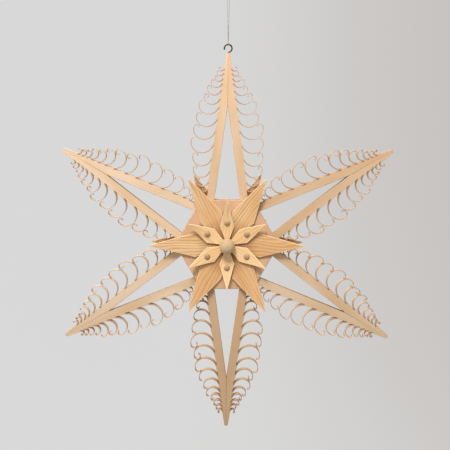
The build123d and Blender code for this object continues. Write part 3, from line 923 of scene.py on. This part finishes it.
# ---------------------------------------------------------------- screw eye
def build_screw_eye():
    """Bent wire: shank, short bend, open ring with a rounded end."""
    ring_bottom = RING_Z - EYE_RADIUS
    neck = ((0.0, SHANK_LENGTH), (0.0, 2.4), (0.0, 1.0), (0.1, 0.1))
    path = [Vector((x, 0, ring_bottom - drop)) for x, drop in neck]
    start, end = -76.0, 270.0 - EYE_OPENING    # degrees round the ring from +X
    steps = 40
    for step in range(steps + 1):
        angle = radians(start + (end - start) * step / steps)
        path.append(Vector((EYE_RADIUS * cos(angle), 0, RING_Z + EYE_RADIUS * sin(angle))))
    path = smooth_path(path, 2)
    radii = [WIRE_RADIUS] * len(path)
    radii[0] = WIRE_RADIUS * 0.5
    for back, share in ((1, 0.45), (2, 0.78), (3, 0.94)):
        radii[-back] = WIRE_RADIUS * share
    points, faces = tube([point * MM for point in path], [radius * MM for radius in radii], 20)
    make_piece("bent_screw_eye", points, faces, wire_metal, "screw_eye")


# ---------------------------------------------------------------- thread, loop and knot
def cord_curve(name, route):
    """Round cord on one smooth line through its route's control points."""
    curve = bpy.data.curves.new(name, "CURVE")
    curve.dimensions = "3D"
    curve.bevel_depth = THREAD_RADIUS * MM
    curve.bevel_resolution = 4
    curve.resolution_u = 24
    curve.use_fill_caps = True
    spline = curve.splines.new("NURBS")
    spline.points.add(len(route) - 1)
    for point, place in zip(spline.points, route):
        point.co = (*(Vector(place) * MM), 1.0)
    spline.use_endpoint_u = True
    spline.order_u = 3
    curve.materials.append(thread_fibre)
    cord = bpy.data.objects.new(name, curve)
    bpy.context.scene.collection.objects.link(cord)
    return cord


def trefoil():
    """The doubled thread's overhand knot, as a closed tube along a trefoil."""
    wide, deep, tall, cord_radius = 0.30, 0.55, 0.38, 0.42
    steps = 90
    path = []
    for step in range(steps):
        t = 2 * pi * step / steps
        x = wide * (sin(t) + 2 * sin(2 * t))
        z = KNOT_Z + tall * (cos(t) - 2 * cos(2 * t))
        path.append(Vector((x, -deep * sin(3 * t), z)) * MM)
    return tube(path, [cord_radius * MM] * steps, 14, closed=True)


def build_thread():
    """Two strands from the knot round the eye's wire, the knot, and the hanging loop."""
    bight = WIRE_RADIUS + THREAD_CLEARANCE + THREAD_RADIUS
    above = 12 * THREAD_RADIUS    # a point this far over the bight keeps the strands straight
    share = above / (THREAD_DROP + bight)
    near_x = STRAND_SPREAD * share
    near_y = bight + (STRAND_DEPTH - bight) * share
    near_z = WIRE_Z - bight + above
    thread_route = [
        (-STRAND_SPREAD, -STRAND_DEPTH, KNOT_Z), (-near_x, -near_y, near_z),
        (0.0, -bight, WIRE_Z - bight), (0.0, bight, WIRE_Z - bight),
        (near_x, near_y, near_z), (STRAND_SPREAD, STRAND_DEPTH, KNOT_Z),
    ]
    left_side = [
        (-0.5, 0.0, KNOT_Z + 0.6), (-0.8, 0.0, KNOT_Z + 3.2), (-LOOP_HALF_WIDTH, 0.0, KNOT_Z + 8.6),
        (-LOOP_HALF_WIDTH + 0.3, 0.0, THREAD_RADIUS - 1.6), (-1.4, 0.0, THREAD_RADIUS + 0.15),
    ]
    loop_route = left_side + [(-x, y, z) for x, y, z in reversed(left_side)]

    points, faces = trefoil()
    knot = make_piece("tied_knot", points, faces, thread_fibre, "thread_knot", body="hanger")

    strands = cord_curve("thread_strands", thread_route)
    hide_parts("hanging_thread")
    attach(strands, "thread")
    loop = cord_curve("thread_loop", loop_route)
    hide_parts("hanging_loop")
    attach(loop, "hanger")


# ---------------------------------------------------------------- CAD nodes that stay
def dress_cad_nodes():
    materials = {"front_plate": plate_wood, "back_plate": plate_wood,
                 "hub_core": core_wood, "centre_dowel": core_wood}
    for name, material in materials.items():
        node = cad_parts[name]
        node.data.materials.clear()
        node.data.materials.append(material)


# ---------------------------------------------------------------- backdrop, light and camera
def pale_paper():
    """Paper lit evenly by itself, warmer and a little darker to the right."""
    nodes = Nodes("pale_paper")
    place = nodes.place()
    side = nodes.add("SeparateXYZ", Vector=place).outputs["X"]
    paper = nodes.mix(nodes.ramp(side, -0.2, 0.95), colour(216, 216, 216), colour(198, 194, 191))
    mottle = nodes.noise(place, scale=1.3, detail=2)
    paper = nodes.mix(nodes.math("MULTIPLY", mottle, 0.12), paper, colour(200, 200, 200))
    return nodes.surface(
        Emission_Color=paper, Emission_Strength=1.0, Base_Color=colour(30, 30, 30),
        Roughness=0.9, Specular_IOR_Level=0.1)


def build_backdrop():
    """Pale bowl all round, in metres: level floor, wide fillet and upright wall."""
    floor_z, wall_radius, fillet, wall_top = -0.95, 3.0, 1.2, 3.5
    flat_radius = wall_radius - fillet
    profile = [(radius, floor_z) for radius in (0.6, 1.2, flat_radius)]
    fillet_steps = 12
    for step in range(1, fillet_steps + 1):
        angle = radians(90) * step / fillet_steps
        profile.append((flat_radius + fillet * sin(angle), floor_z + fillet * (1 - cos(angle))))
    profile += [(wall_radius, wall_top - 2.0), (wall_radius, wall_top)]
    segments = 96
    points, faces = [(0, 0, floor_z)], []
    for radius, height in profile:
        for step in range(segments):
            angle = 2 * pi * step / segments
            points.append((radius * cos(angle), radius * sin(angle), height))
    for step in range(segments):
        after = (step + 1) % segments
        faces.append((0, 1 + step, 1 + after))
        for ring in range(len(profile) - 1):
            low = 1 + ring * segments
            faces.append((low + step, low + segments + step, low + segments + after, low + after))
    mesh = bpy.data.meshes.new("backdrop")
    mesh.from_pydata(points, [], faces)
    mesh.shade_smooth()
    mesh.materials.append(pale_paper())
    bowl = bpy.data.objects.new("backdrop", mesh)
    bpy.context.scene.collection.objects.link(bowl)
    bowl.visible_shadow = False
    bowl.visible_diffuse = False
    bowl.visible_glossy = False


def add_area_light(name, position, target, size, power, tint):
    data = bpy.data.lights.new(name, "AREA")
    data.shape = "DISK"
    data.size = size
    data.energy = power
    data.color = tint
    light = bpy.data.objects.new(name, data)
    light.location = position
    light.rotation_mode = "QUATERNION"
    light.rotation_quaternion = (target - position).to_track_quat("-Z", "Y")
    light.visible_camera = False
    bpy.context.scene.collection.objects.link(light)


def build_sky():
    """Soft white light from every side, stronger from above and from the left."""
    world = bpy.data.worlds.new("studio")
    world.use_nodes = True
    tree = world.node_tree
    direction = tree.nodes.new("ShaderNodeTexCoord")
    split = tree.nodes.new("ShaderNodeSeparateXYZ")
    fade = tree.nodes.new("ShaderNodeMapRange")
    fade.interpolation_type = "SMOOTHSTEP"
    tree.links.new(direction.outputs["Generated"], split.inputs[0])
    tree.links.new(split.outputs["Z"], fade.inputs["Value"])
    limits = {"From Min": 0.05, "From Max": 0.85, "To Min": SKY_BELOW, "To Max": SKY_ABOVE}
    for socket, value in limits.items():
        fade.inputs[socket].default_value = value
    leftward = tree.nodes.new("ShaderNodeMath")
    leftward.operation = "MULTIPLY_ADD"
    leftward.inputs[1].default_value = -SKY_LEFT
    tree.links.new(split.outputs["X"], leftward.inputs[0])
    tree.links.new(fade.outputs[0], leftward.inputs[2])
    background = tree.nodes["Background"]
    tree.links.new(leftward.outputs[0], background.inputs["Strength"])
    background.inputs["Color"].default_value = (1.0, 0.965, 0.91, 1)
    bpy.context.scene.world = world


def build_lights(hub):
    """Small key above the front and a little left, and a broad, weaker fill behind."""
    build_sky()
    add_area_light("key", hub + KEY_FROM_HUB, hub, size=0.16, power=2.45, tint=(1.0, 1.0, 1.02))
    add_area_light("back_fill", hub + BACK_FILL_FROM_HUB, hub, size=0.6, power=5.0, tint=(1.0, 1.0, 1.0))


def build_camera(hub):
    """A little over the hub and looking down, with the hub just right of and below the middle."""
    distance = 0.666
    elevation = radians(8.5)
    hub_below_axis = radians(1.28)
    hub_right_of_axis = radians(0.148)
    roll = radians(0.3)
    data = bpy.data.cameras.new("camera")
    data.lens = 68.0
    data.clip_start = 0.02
    camera = bpy.data.objects.new("camera", data)
    camera.location = hub + distance * Vector((0, -cos(elevation), sin(elevation)))
    pitch = -elevation + hub_below_axis
    turn_left = hub_right_of_axis
    look = Vector((-sin(turn_left) * cos(pitch), cos(turn_left) * cos(pitch), sin(pitch)))
    level = look.to_track_quat("-Z", "Y")
    camera.rotation_mode = "QUATERNION"
    camera.rotation_quaternion = level @ Matrix.Rotation(roll, 3, "Z").to_quaternion()
    bpy.context.scene.collection.objects.link(camera)
    bpy.context.scene.camera = camera
    bpy.context.scene.view_settings.view_transform = "Standard"


# ---------------------------------------------------------------- all of it
build_slats()
build_petals()
build_balls()
build_pegs()
build_screw_eye()
build_thread()
dress_cad_nodes()
build_backdrop()
core_low, core_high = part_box("hub_core")
hub_middle = (core_low + core_high) / 2
build_lights(hub_middle)
build_camera(hub_middle)
